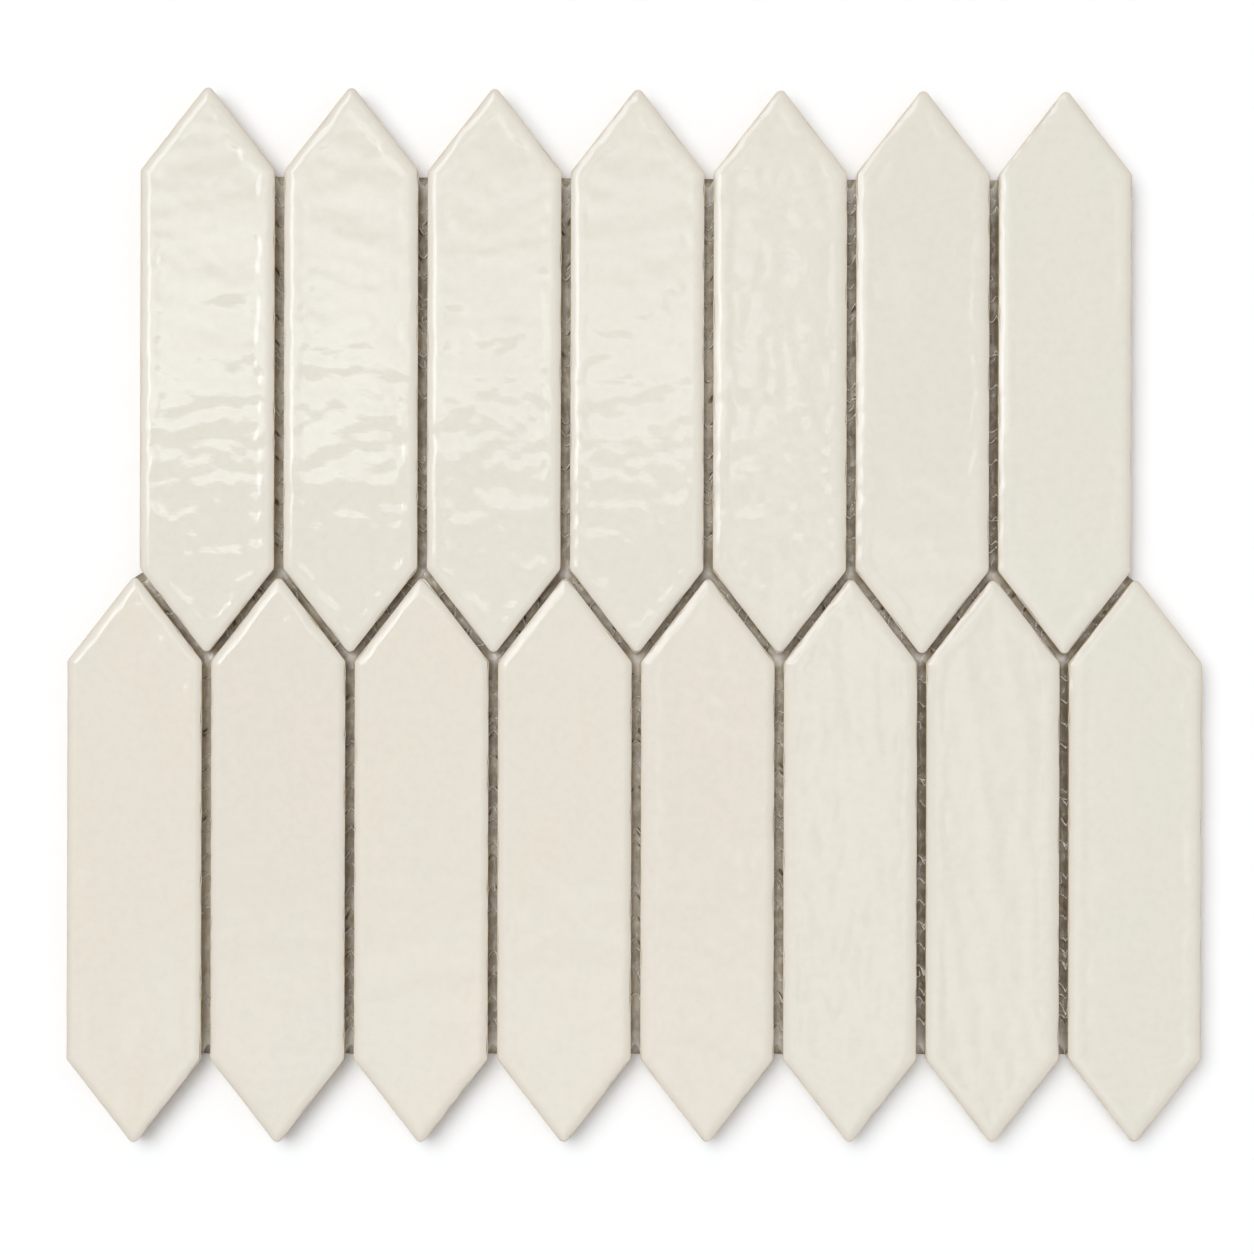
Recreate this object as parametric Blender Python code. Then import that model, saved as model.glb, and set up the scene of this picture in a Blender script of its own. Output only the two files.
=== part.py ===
"""A picket mosaic sheet: glazed ceramic pickets in two interlocked rows on one coated mesh.

Metres, with +Z up. The sheet lies glaze up, with its bedding side on z = 0. The pickets are long in Y,
the rows run along X, and the origin is under the middle of the whole sheet.
"""

import math

import bmesh
import bpy
from mathutils import Matrix, Vector

# The pattern. The lower row has one picket more and is set half a pitch along.
UPPER_TILES = 7
LOWER_TILES = UPPER_TILES + 1
SIDE_JOINT = 0.0024
POINT_JOINT = 0.0019

# One picket over its glaze, from rounded point to rounded point.
TILE_WIDTH = 0.0357
TILE_LENGTH = 0.1500
TILE_THICKNESS = 0.0080
POINT_ANGLE = math.radians(75.6)
TIP_RADIUS = 0.0015
SHOULDER_RADIUS = 0.0020

# Its section. The edge rolls over into a low bevel, which rises to a crest round the dished field.
EDGE_ROLL_WIDTH = 0.0007
EDGE_ROLL_HEIGHT = 0.0010
BEVEL_WIDTH = 0.0018
BEVEL_RISE = 0.00035
DISH_WIDTH = 0.0045
DISH_DEPTH = 0.0002

# Its pressed back: drafted sides, a broken arris, and shallow pockets that key the adhesive.
SIDE_DRAFT = 0.0003
BACK_ARRIS = 0.0004
KEY_POCKETS = 5
KEY_MARGIN = 0.0045
KEY_RIB = 0.0035
KEY_DEPTH = 0.0005

# The coated glass-fibre mesh. Its film hangs back in a curve where a joint opens at the sheet's edge.
MESH_THICKNESS = 0.0006
MESH_INSET = 0.0015
FILM_SETBACK = 0.0013
FILM_SAG = 0.0006
SEAT_GAP = 0.0003

# Segments on the round stretches.
TIP_STEPS = 6
SHOULDER_STEPS = 2
ROLL_STEPS = 4
BEVEL_STEPS = 3
DISH_STEPS = 3
FILM_STEPS = 6

SMALLEST_RADIUS = 0.0002
CUT_OVERRUN = 0.001

GLAZE_CREAM = (0.80, 0.77, 0.68, 1.0)
FILM_TAUPE = (0.30, 0.27, 0.21, 1.0)

# Sizes that follow from the ones above. A sharp size runs to where the straight edges would meet.
HALF_POINT = POINT_ANGLE / 2
SHARP_HALF_LENGTH = TILE_LENGTH / 2 + TIP_RADIUS * (1 / math.sin(HALF_POINT) - 1)
SHOULDER_Y = SHARP_HALF_LENGTH - TILE_WIDTH / 2 / math.tan(HALF_POINT)
PITCH = TILE_WIDTH + SIDE_JOINT
POINT_JOINT_IN_Y = POINT_JOINT / math.sin(HALF_POINT)
ROW_PITCH = 2 * SHARP_HALF_LENGTH - PITCH / 2 / math.tan(HALF_POINT) + POINT_JOINT_IN_Y
TILE_BASE = MESH_THICKNESS + SEAT_GAP


def clear_scene():
    """Removes what the file opens with."""
    for thing in list(bpy.data.objects):
        bpy.data.objects.remove(thing, do_unlink=True)


def finish(name, colour, roughness, coat):
    """A Principled finish with one colour."""
    material = bpy.data.materials.new(name)
    material.use_nodes = True
    shader = material.node_tree.nodes["Principled BSDF"]
    shader.inputs["Base Color"].default_value = colour
    shader.inputs["Roughness"].default_value = roughness
    shader.inputs["Metallic"].default_value = 0.0
    shader.inputs["Coat Weight"].default_value = coat
    material.diffuse_color = colour
    return material


def link(thing):
    """Puts an object into the scene."""
    bpy.context.scene.collection.objects.link(thing)
    return thing


def picket_corners(inset):
    """The outline's six sharp corners drawn in by inset, anticlockwise from the upper right shoulder."""
    half_width = TILE_WIDTH / 2 - inset
    tip = SHARP_HALF_LENGTH - inset / math.sin(HALF_POINT)
    shoulder = tip - half_width / math.tan(HALF_POINT)
    return [
        Vector((half_width, shoulder)),
        Vector((0.0, tip)),
        Vector((-half_width, shoulder)),
        Vector((-half_width, -shoulder)),
        Vector((0.0, -tip)),
        Vector((half_width, -shoulder)),
    ]


def round_corner(corner, before, after, radius, steps):
    """Points on the arc that turns a corner, from the side before it to the side after it."""
    to_before = (before - corner).normalized()
    to_after = (after - corner).normalized()
    half_angle = to_before.angle(to_after) / 2
    centre = corner + (to_before + to_after).normalized() * radius / math.sin(half_angle)
    start = corner + to_before * radius / math.tan(half_angle) - centre
    sweep = math.pi - 2 * half_angle
    return [centre + Matrix.Rotation(sweep * step / steps, 2) @ start for step in range(steps + 1)]


def picket_outline(inset):
    """The picket's rounded outline drawn in by inset. Every inset gives the same number of points."""
    corners = picket_corners(inset)
    outline = []
    for place, corner in enumerate(corners):
        is_tip = corner.x == 0.0
        radius = max((TIP_RADIUS if is_tip else SHOULDER_RADIUS) - inset, SMALLEST_RADIUS)
        steps = TIP_STEPS if is_tip else SHOULDER_STEPS
        before = corners[place - 1]
        after = corners[(place + 1) % len(corners)]
        outline += round_corner(corner, before, after, radius, steps)
    return outline


def picket_section():
    """(inset, height) pairs from the back, up the drafted side, over the edge and crest, into the field."""
    bevel_foot = TILE_THICKNESS - BEVEL_RISE
    section = [
        (SIDE_DRAFT + BACK_ARRIS, 0.0),
        (SIDE_DRAFT, BACK_ARRIS),
    ]
    for step in range(ROLL_STEPS + 1):
        turn = math.pi / 2 * step / ROLL_STEPS
        inset = EDGE_ROLL_WIDTH * (1 - math.cos(turn))
        section.append((inset, bevel_foot - EDGE_ROLL_HEIGHT * (1 - math.sin(turn))))
    for step in range(1, BEVEL_STEPS + 1):
        share = step / BEVEL_STEPS
        inset = EDGE_ROLL_WIDTH + BEVEL_WIDTH * share
        section.append((inset, bevel_foot + BEVEL_RISE * math.sin(math.pi / 2 * share)))
    crest = EDGE_ROLL_WIDTH + BEVEL_WIDTH
    for step in range(1, DISH_STEPS + 1):
        share = step / DISH_STEPS
        fall = DISH_DEPTH * (1 - math.cos(math.pi * share)) / 2
        section.append((crest + DISH_WIDTH * share, TILE_THICKNESS - fall))
    return section


def picket_body():
    """The picket as one lofted solid: its outline at each station of its section, closed at both ends."""
    model = bmesh.new()
    rings = []
    for inset, height in picket_section():
        rings.append([model.verts.new((p.x, p.y, height)) for p in picket_outline(inset)])
    count = len(rings[0])
    for low, high in zip(rings, rings[1:]):
        for place in range(count):
            following = (place + 1) % count
            model.faces.new((low[place], low[following], high[following], high[place]))
    model.faces.new(reversed(rings[0]))
    model.faces.new(rings[-1])
    mesh = bpy.data.meshes.new("picket_body")
    model.to_mesh(mesh)
    model.free()
    return mesh


def key_cutter():
    """The blocks that press the key pockets into the back, one above another between the shoulders."""
    width = TILE_WIDTH - 2 * KEY_MARGIN
    length = (2 * SHOULDER_Y - (KEY_POCKETS - 1) * KEY_RIB) / KEY_POCKETS
    height = KEY_DEPTH + CUT_OVERRUN
    model = bmesh.new()
    for place in range(KEY_POCKETS):
        y = (place - (KEY_POCKETS - 1) / 2) * (length + KEY_RIB)
        z = KEY_DEPTH - height / 2
        matrix = Matrix.Translation((0.0, y, z)) @ Matrix.Diagonal((width, length, height, 1.0))
        bmesh.ops.create_cube(model, size=1.0, matrix=matrix)
    mesh = bpy.data.meshes.new("key_cutter")
    model.to_mesh(mesh)
    model.free()
    return mesh


def picket_mesh(glaze):
    """The finished picket: its body with the key pockets cut out of the back, shaded smooth."""
    picket = link(bpy.data.objects.new("picket_pattern", picket_body()))
    cutter = link(bpy.data.objects.new("key_cutter", key_cutter()))
    keying = picket.modifiers.new("key_pockets", "BOOLEAN")
    keying.operation = "DIFFERENCE"
    keying.solver = "EXACT"
    keying.object = cutter
    evaluated = picket.evaluated_get(bpy.context.evaluated_depsgraph_get())
    mesh = bpy.data.meshes.new_from_object(evaluated)
    mesh.name = "picket"
    mesh.materials.clear()
    mesh.materials.append(glaze)
    mesh.shade_smooth()
    mesh.set_sharp_from_angle(angle=math.radians(35))
    bpy.data.objects.remove(picket, do_unlink=True)
    bpy.data.objects.remove(cutter, do_unlink=True)
    return mesh


def row_places(count):
    """The X of each picket's middle in a row of count pickets, centred on the sheet."""
    return [(place - (count - 1) / 2) * PITCH for place in range(count)]


def joint_places(count):
    """The X of the middle of each joint between the pickets of a row."""
    return [x + PITCH / 2 for x in row_places(count)[:-1]]


def lay_row(name, count, y, mesh):
    """A row of pickets on an empty of its own, numbered from the left."""
    row = link(bpy.data.objects.new(name + "_row", None))
    row.location = (0.0, y, TILE_BASE)
    for number, x in enumerate(row_places(count), start=1):
        tile = link(bpy.data.objects.new(f"tile_{name}_{number}", mesh))
        tile.parent = row
        tile.location = (x, 0.0, 0.0)


def film_edge(start, end, inward):
    """The film's edge across an open joint, from one picket to the next, hanging back into the joint."""
    edge = []
    for step in range(FILM_STEPS + 1):
        share = step / FILM_STEPS
        edge.append(start.lerp(end, share) + inward * FILM_SAG * math.sin(math.pi * share))
    return edge


def backing_right_side(cut):
    """The backing's right edge, upwards, with the point that stands out beside the upper row."""
    lower_last = Vector((row_places(LOWER_TILES)[-1], -ROW_PITCH / 2))
    upper_last = Vector((row_places(UPPER_TILES)[-1], ROW_PITCH / 2))
    drawn_in = picket_corners(MESH_INSET)
    tip, shoulder = picket_corners(0.0)[4:]
    along = (tip - shoulder).normalized()
    across = Vector((-along.y, along.x)) * POINT_JOINT
    mouth = upper_last + shoulder + along * FILM_SETBACK
    return [
        Vector((lower_last.x + TILE_WIDTH / 2 - MESH_INSET, -cut)),
        lower_last + drawn_in[0],
        lower_last + drawn_in[1],
        *film_edge(mouth + across, mouth, along),
        upper_last + drawn_in[5],
        Vector((upper_last.x + TILE_WIDTH / 2 - MESH_INSET, cut)),
    ]


def backing_outline():
    """The backing's outline, anticlockwise. It is cut straight under the shoulders, short of the points."""
    cut = ROW_PITCH / 2 + SHOULDER_Y - FILM_SETBACK
    half_joint = SIDE_JOINT / 2
    right = backing_right_side(cut)
    outline = []
    for x in joint_places(LOWER_TILES):
        left_side, right_side = Vector((x - half_joint, -cut)), Vector((x + half_joint, -cut))
        outline += film_edge(left_side, right_side, inward=Vector((0.0, 1.0)))
    outline += right
    for x in reversed(joint_places(UPPER_TILES)):
        left_side, right_side = Vector((x - half_joint, cut)), Vector((x + half_joint, cut))
        outline += film_edge(right_side, left_side, inward=Vector((0.0, -1.0)))
    outline += [Vector((-p.x, p.y)) for p in reversed(right)]
    return outline


def lay_backing(film):
    """The coated mesh as a thin solid, lying on z = 0."""
    model = bmesh.new()
    face = model.faces.new([model.verts.new((p.x, p.y, 0.0)) for p in backing_outline()])
    raised = bmesh.ops.extrude_face_region(model, geom=[face])["geom"]
    corners = [element for element in raised if isinstance(element, bmesh.types.BMVert)]
    bmesh.ops.translate(model, verts=corners, vec=(0.0, 0.0, MESH_THICKNESS))
    bmesh.ops.recalc_face_normals(model, faces=model.faces[:])
    mesh = bpy.data.meshes.new("mesh_backing")
    model.to_mesh(mesh)
    model.free()
    mesh.materials.append(film)
    link(bpy.data.objects.new("mesh_backing", mesh))


def main():
    clear_scene()
    glaze = finish("cream_glaze", GLAZE_CREAM, roughness=0.12, coat=0.5)
    film = finish("adhesive_film", FILM_TAUPE, roughness=0.45, coat=0.0)
    picket = picket_mesh(glaze)
    lay_backing(film)
    lay_row("upper", UPPER_TILES, ROW_PITCH / 2, picket)
    lay_row("lower", LOWER_TILES, -ROW_PITCH / 2, picket)


main()
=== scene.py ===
# %% [markdown]
# A mosaic sheet of glazed pickets, dressed for its picture.
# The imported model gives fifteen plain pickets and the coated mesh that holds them, at their real size.
# Each step below takes one of them and gives it the surface that the real one has.

import math

import bmesh
import bpy
import numpy as np
from mathutils import Matrix, Vector
from mathutils.geometry import tessellate_polygon


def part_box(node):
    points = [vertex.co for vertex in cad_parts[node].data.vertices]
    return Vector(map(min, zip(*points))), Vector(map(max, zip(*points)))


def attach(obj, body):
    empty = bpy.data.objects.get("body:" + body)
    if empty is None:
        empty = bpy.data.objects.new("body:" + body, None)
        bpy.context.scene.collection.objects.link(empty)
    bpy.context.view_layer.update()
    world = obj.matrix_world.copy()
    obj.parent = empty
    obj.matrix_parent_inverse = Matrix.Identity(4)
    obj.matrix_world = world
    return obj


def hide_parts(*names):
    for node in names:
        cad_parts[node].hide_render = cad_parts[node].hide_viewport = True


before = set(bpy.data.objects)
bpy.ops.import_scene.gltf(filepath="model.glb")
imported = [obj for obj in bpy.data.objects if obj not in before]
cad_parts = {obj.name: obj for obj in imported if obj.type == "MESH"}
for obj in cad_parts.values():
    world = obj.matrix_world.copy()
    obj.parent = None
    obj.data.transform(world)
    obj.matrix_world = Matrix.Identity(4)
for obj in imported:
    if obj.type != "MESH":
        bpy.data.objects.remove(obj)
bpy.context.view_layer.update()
MM = 0.001


# %% [markdown]
# The camera stands above the sheet, a little left of its middle, and looks almost straight down.
# A camera could be pointed with a Track To constraint, but this view is also turned by small angles.
# So its place and its three small turns are named, and its matrix is made from them.

# %% Camera
EYE = Vector((-16.7, -2.8, 847.5)) * MM
TURN_ACROSS = math.radians(0.967)
TURN_ALONG = math.radians(0.012)
TURN_IN_PLANE = math.radians(-0.152)
FRAME_PIXELS = 1254
FOCAL_PIXELS = 3150


def add_object(name, data):
    """A new object in the scene."""
    thing = bpy.data.objects.new(name, data)
    bpy.context.scene.collection.objects.link(thing)
    return thing


def add_camera():
    """A camera above the sheet, its lens set for a square frame of FRAME_PIXELS."""
    camera = add_object("camera", bpy.data.cameras.new("camera"))
    camera.data.lens = camera.data.sensor_width * FOCAL_PIXELS / FRAME_PIXELS
    turn = Matrix.Rotation(TURN_IN_PLANE, 3, "Z") @ Matrix.Rotation(TURN_ALONG, 3, "X")
    turn = turn @ Matrix.Rotation(TURN_ACROSS, 3, "Y")
    camera.matrix_world = Matrix.Translation(EYE) @ turn.to_4x4().inverted()
    bpy.context.scene.camera = camera
    return camera


camera = add_camera()
print("Lens:", round(camera.data.lens, 1), "mm")


# %% [markdown]
# Every finish and light below is a small network of nodes. Each node could be made and wired on lines of
# its own, but most of them are the same few sums and blends. So a few helpers make them. Each takes a
# plain value or another node's output, which lets a formula be written nearly as it is said.

# %% Small helpers for node trees
def new_material(name):
    """A material with its node tree and its Principled shader."""
    material = bpy.data.materials.new(name)
    material.use_nodes = True
    tree = material.node_tree
    return material, tree, tree.nodes["Principled BSDF"]


def feed(tree, socket, value):
    """Links a socket to an output, or sets it to a plain value."""
    if isinstance(value, bpy.types.NodeSocket):
        tree.links.new(value, socket)
    else:
        socket.default_value = value


def math_node(tree, operation, first, second=0.0):
    """The output of one sum on two values."""
    node = tree.nodes.new("ShaderNodeMath")
    node.operation = operation
    feed(tree, node.inputs[0], first)
    feed(tree, node.inputs[1], second)
    return node.outputs[0]


def ramp_between(tree, value, low, high, start=0.0, end=1.0, smooth=True):
    """Goes smoothly from start to end as the value goes from low to high."""
    node = tree.nodes.new("ShaderNodeMapRange")
    node.interpolation_type = "SMOOTHSTEP" if smooth else "LINEAR"
    feed(tree, node.inputs["Value"], value)
    node.inputs["From Min"].default_value = low
    node.inputs["From Max"].default_value = high
    node.inputs["To Min"].default_value = start
    node.inputs["To Max"].default_value = end
    return node.outputs["Result"]


def mix_colours(tree, share, first, second):
    """A blend of two colours by share."""
    node = tree.nodes.new("ShaderNodeMix")
    node.data_type = "RGBA"
    feed(tree, node.inputs["Factor"], share)
    feed(tree, node.inputs[6], first)
    feed(tree, node.inputs[7], second)
    return node.outputs[2]


def srgb(red, green, blue):
    """A colour given as it is seen on a screen, 0 to 255, in the linear values that shaders use."""
    values = []
    for value in (red / 255, green / 255, blue / 255):
        values.append(value / 12.92 if value <= 0.04045 else ((value + 0.055) / 1.055) ** 2.4)
    return (*values, 1.0)


print("A mid grey on the screen is", round(srgb(128, 128, 128)[0], 3), "in linear light")

# %% [markdown]
# The sheet lies on a white ground that still holds its soft shadow. Brighter lamps could whiten the
# floor, but they would bleach the glaze too. So the lamps stay plain, and the floor has a lighter colour
# for the camera and for mirrored rays alone. The Light Path node tells them apart.

# %% Floor
FLOOR_SIZE = 6.0
FLOOR_DROP = 0.05 * MM
FLOOR_WHITE = (0.85, 0.85, 0.85, 1.0)
FLOOR_WHITE_SEEN = (0.977, 0.979, 0.985, 1.0)


def add_floor():
    """A wide white floor, whitened for the camera so that only the shadow is darker than white."""
    bpy.ops.mesh.primitive_plane_add(size=FLOOR_SIZE, location=(0.0, 0.0, -FLOOR_DROP))
    floor = bpy.context.object
    floor.name = "floor"
    material, tree, shader = new_material("white_floor")
    shader.inputs["Roughness"].default_value = 0.9
    shader.inputs["Specular IOR Level"].default_value = 0.0
    rays = tree.nodes.new("ShaderNodeLightPath")
    seen = math_node(tree, "MAXIMUM", rays.outputs["Is Camera Ray"], rays.outputs["Is Glossy Ray"])
    white = mix_colours(tree, seen, FLOOR_WHITE, FLOOR_WHITE_SEEN)
    tree.links.new(white, shader.inputs["Base Color"])
    floor.data.materials.append(material)


add_floor()
bpy.context.scene.view_settings.view_transform = "Standard"
print("Floor:", FLOOR_SIZE, "m wide,", round(FLOOR_DROP / MM, 2), "mm under the sheet")

# %% [markdown]
# One large soft light to the upper left gives the shadow its softness and its side. An area lamp could
# be it, but its light falls off across the sheet, and a glaze this flat would show its shape. So it is a
# sun of a wide angle, which lights the whole sheet evenly, and it is kept out of the gloss.

# %% The soft sun
SUN_SLOPES = (-0.35, 0.29)
SUN_WIDTH = 0.78
SUN_LIGHT = 0.422


def add_sun():
    """A wide sun from the upper left. SUN_LIGHT is its share of a white floor's light."""
    way = Vector((*SUN_SLOPES, 1.0)).normalized()
    lamp = bpy.data.lights.new("soft_sun", "SUN")
    lamp.angle = SUN_WIDTH
    lamp.energy = SUN_LIGHT * math.pi / way.z
    sun = add_object("soft_sun", lamp)
    sun.rotation_euler = way.to_track_quat("Z", "Y").to_euler()
    sun.visible_glossy = False
    return sun


sun = add_sun()
print("Sun's strength:", round(sun.data.energy, 2))

# %% [markdown]
# The gloss mirrors large soft boxes, and their edges fade. Area lamps could stand in for them, but each
# would end in a hard line in the shine. So the mirrored lights are painted on the world: each is a
# window in the sky with soft edges, placed by its slopes. A slope is how far it lies to the side for
# each metre up.

# %% The sky of soft lights
FILL = 0.376
FILL_LEAN = (0.22, -0.10)
OVERHEAD = 0.6
OVERHEAD_CENTRE = (-0.20, 0.05)
OVERHEAD_SLOPES = (0.30, 0.70)
WINDOW_TINT = (0.93, 1.0, 1.07, 1.0)
# Each window: its left, right, low and high edge, each with how softly it fades, and its brightness.
WINDOWS = {
    "key box": ((-0.36, 0.02), (-0.172, 0.012), (0.025, 0.02), (0.50, 0.05), 3.4),
    "key skirt": ((-0.62, 0.05), (-0.28, 0.03), (0.00, 0.04), (0.55, 0.05), 0.6),
    "left panel": ((-0.27, 0.02), (-0.060, 0.012), (0.060, 0.003), (0.140, 0.045), 0.8),
    "wide panel": ((-0.27, 0.02), (0.052, 0.006), (0.060, 0.003), (0.145, 0.050), 1.35),
    "bright strip": ((-0.27, 0.02), (0.060, 0.006), (0.060, 0.003), (0.082, 0.006), 0.6),
    "faint panel": ((0.045, 0.010), (0.090, 0.006), (0.00, 0.02), (0.20, 0.03), 0.40),
    "right panel": ((0.068, 0.006), (0.138, 0.030), (-0.20, 0.03), (0.03, 0.02), 0.8),
    "low panel": ((-0.13, 0.01), (0.05, 0.01), (-0.35, 0.03), (-0.10, 0.006), 0.6),
}


def sky_window(tree, across, along, left, right, low, high):
    """1 inside a rectangle of slopes and 0 outside it, with soft edges."""
    sides = []
    for slope, (start, start_soft), (end, end_soft) in ((across, left, right), (along, low, high)):
        rise = ramp_between(tree, slope, start - start_soft, start + start_soft)
        fall = ramp_between(tree, slope, end - end_soft, end + end_soft, 1.0, 0.0)
        sides.append(math_node(tree, "MULTIPLY", rise, fall))
    return math_node(tree, "MULTIPLY", *sides)


def set_sky():
    """A bright fill that leans a little to the lower right, a glow to the upper left, and the soft windows
    added to it.
    """
    world = bpy.data.worlds.new("studio")
    bpy.context.scene.world = world
    world.use_nodes = True
    tree = world.node_tree
    background = tree.nodes["Background"]
    background.inputs["Color"].default_value = (1.0, 1.0, 1.0, 1.0)
    windows = tree.nodes.new("ShaderNodeBackground")
    windows.inputs["Color"].default_value = WINDOW_TINT
    place = tree.nodes.new("ShaderNodeTexCoord")
    parts = tree.nodes.new("ShaderNodeSeparateXYZ")
    tree.links.new(place.outputs["Generated"], parts.inputs[0])
    x, y, z = parts.outputs
    up = math_node(tree, "MAXIMUM", z, 0.01)
    across = math_node(tree, "DIVIDE", x, up)
    along = math_node(tree, "DIVIDE", y, up)
    lean_x = math_node(tree, "MULTIPLY", x, FILL * FILL_LEAN[0])
    lean_y = math_node(tree, "MULTIPLY", y, FILL * FILL_LEAN[1])
    light = math_node(tree, "ADD", math_node(tree, "ADD", lean_x, lean_y), FILL)
    off_x = math_node(tree, "SUBTRACT", across, OVERHEAD_CENTRE[0])
    off_y = math_node(tree, "SUBTRACT", along, OVERHEAD_CENTRE[1])
    squares = [math_node(tree, "MULTIPLY", off, off) for off in (off_x, off_y)]
    slope = math_node(tree, "SQRT", math_node(tree, "ADD", *squares))
    light = math_node(tree, "ADD", light, ramp_between(tree, slope, *OVERHEAD_SLOPES, OVERHEAD, 0.0))
    panes = 0.0
    for *edges, brightness in WINDOWS.values():
        inside = sky_window(tree, across, along, *edges)
        panes = math_node(tree, "ADD", math_node(tree, "MULTIPLY", inside, brightness), panes)
    rays = tree.nodes.new("ShaderNodeLightPath")
    for strength, seen, shader in ((light, 1.0, background), (panes, 0.0, windows)):
        pick = tree.nodes.new("ShaderNodeMix")
        tree.links.new(rays.outputs["Is Camera Ray"], pick.inputs["Factor"])
        tree.links.new(strength, pick.inputs["A"])
        pick.inputs["B"].default_value = seen
        tree.links.new(pick.outputs["Result"], shader.inputs["Strength"])
    both = tree.nodes.new("ShaderNodeAddShader")
    tree.links.new(background.outputs[0], both.inputs[0])
    tree.links.new(windows.outputs[0], both.inputs[1])
    tree.links.new(both.outputs[0], tree.nodes["World Output"].inputs["Surface"])


set_sky()
print("Windows in the sky:", ", ".join(WINDOWS))


# %% [markdown]
# A picket is pressed from clay and glazed, so its outline is exact and its skin is not.
# Its outline could be extruded and bevelled, but then every edge would be the same.
# Here it is lofted from rings, each drawn in a little from the last, which keeps the mitres at the
# points and lets the height of every ring wander as melted glaze does.

# %% The picket's outline
PICKET_WIDTH = 35.7 * MM
PICKET_LENGTH = 150.0 * MM
PICKET_THICKNESS = 8.0 * MM
HALF_POINT = math.radians(75.6 / 2)
TIP_RADIUS = 1.5 * MM
SHOULDER_RADIUS = 2.0 * MM
HALF_WIDTH = PICKET_WIDTH / 2
SHARP_TIP = PICKET_LENGTH / 2 + TIP_RADIUS * (1 / math.sin(HALF_POINT) - 1)

SIDE_STEPS = 128
SLANT_STEPS = 34
TIP_STEPS = 8
SHOULDER_STEPS = 6

SOFT_FROM = 2.5 * MM
SOFT_RADIUS = 0.35 * MM
SOFTENING = 0.3
WIDEST_RADIUS = 0.7
LOWER_RIGHT, UPPER_RIGHT, TOP, UPPER_LEFT, LOWER_LEFT, BOTTOM = range(6)


def sharp_corners(inset):
    """The six corners of the outline drawn in by inset, anticlockwise from the lower right shoulder."""
    half = HALF_WIDTH - inset
    tip = SHARP_TIP - inset / math.sin(HALF_POINT)
    shoulder = tip - half / math.tan(HALF_POINT)
    right = [(half, -shoulder), (half, shoulder), (0.0, tip)]
    return right + [(-x, -y) for x, y in right]


def corner_radius(full, inset):
    """A corner's radius falls as the ring is drawn in, then grows again in the soft middle."""
    soft = SOFT_RADIUS + SOFTENING * max(0.0, inset - SOFT_FROM)
    return min(max(full - inset, soft), WIDEST_RADIUS * (HALF_WIDTH - inset))


def ring_points(inset):
    """The rounded outline drawn in by inset. Every ring has the same number of points."""
    corners = [Vector(corner) for corner in sharp_corners(inset)]
    arcs = []
    for place, corner in enumerate(corners):
        is_tip = place in (TOP, BOTTOM)
        radius = corner_radius(TIP_RADIUS if is_tip else SHOULDER_RADIUS, inset)
        steps = TIP_STEPS if is_tip else SHOULDER_STEPS
        to_last = (corners[place - 1] - corner).normalized()
        to_next = (corners[(place + 1) % 6] - corner).normalized()
        half_angle = to_last.angle(to_next) / 2
        centre = corner + (to_last + to_next).normalized() * radius / math.sin(half_angle)
        start = corner + to_last * radius / math.tan(half_angle) - centre
        sweep = math.pi - 2 * half_angle
        arcs.append([centre + Matrix.Rotation(sweep * step / steps, 2) @ start for step in range(steps + 1)])
    points = []
    for place, arc in enumerate(arcs):
        following = arcs[(place + 1) % 6][0]
        steps = SIDE_STEPS if place in (LOWER_RIGHT, UPPER_LEFT) else SLANT_STEPS
        points += arc
        points += [arc[-1].lerp(following, step / steps) for step in range(1, steps)]
    return np.array([tuple(point) for point in points])


RING_COUNT = len(ring_points(0.0))
print("Points on a ring:", RING_COUNT)

# %% [markdown]
# Seen in section, the glaze turns over the edge in a tight roll, climbs a low bevel to a crest and
# then falls into a shallow dish. The crest is what draws the fine line all round a picket. A Bevel
# modifier gives one round edge and no dish. So the height is a formula of the distance in from the
# edge, and every ring reads it.

# %% The picket's section
ROLL_WIDTH = 0.12 * MM
ROLL_HEIGHT = 0.55 * MM
CREST = 3.1 * MM
BEVEL_SLOPE = 0.21
BEVEL_EVEN = 0.9 * MM
BEVEL_RISE = BEVEL_SLOPE * (CREST + BEVEL_EVEN) / 2
DISH_WIDTH = 2.6 * MM
DISH_DEPTH = 0.056 * MM
SIDE_DRAFT = 0.3 * MM
BACK_ARRIS = 0.4 * MM
WALL_TOP = PICKET_THICKNESS - BEVEL_RISE - ROLL_HEIGHT
ROLL_RINGS = 6
BEVEL_RINGS = 10
DISH_RINGS = 9
DISH_SPACING = 1.2
FIELD_RINGS = 12
FIELD_END = HALF_WIDTH - 0.6 * MM


def glaze_height(inset):
    """How high the glaze stands above the picket's back, at each distance in from its edge."""
    rolled = np.clip(inset / ROLL_WIDTH, 0.0, 1.0)
    roll = ROLL_HEIGHT * (1 - np.sqrt(1 - (1 - rolled) ** 2 * 0.9999))
    even = BEVEL_SLOPE * np.maximum(BEVEL_EVEN - inset, 0.0)
    easing = (CREST - np.clip(inset, BEVEL_EVEN, CREST)) ** 2 / (CREST - BEVEL_EVEN)
    bevel = even + BEVEL_SLOPE / 2 * easing
    dished = np.clip((inset - CREST) / DISH_WIDTH, 0.0, 1.0)
    dish = DISH_DEPTH * (1 - np.cos(math.pi * dished)) / 2
    return PICKET_THICKNESS - roll - bevel - dish


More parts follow.
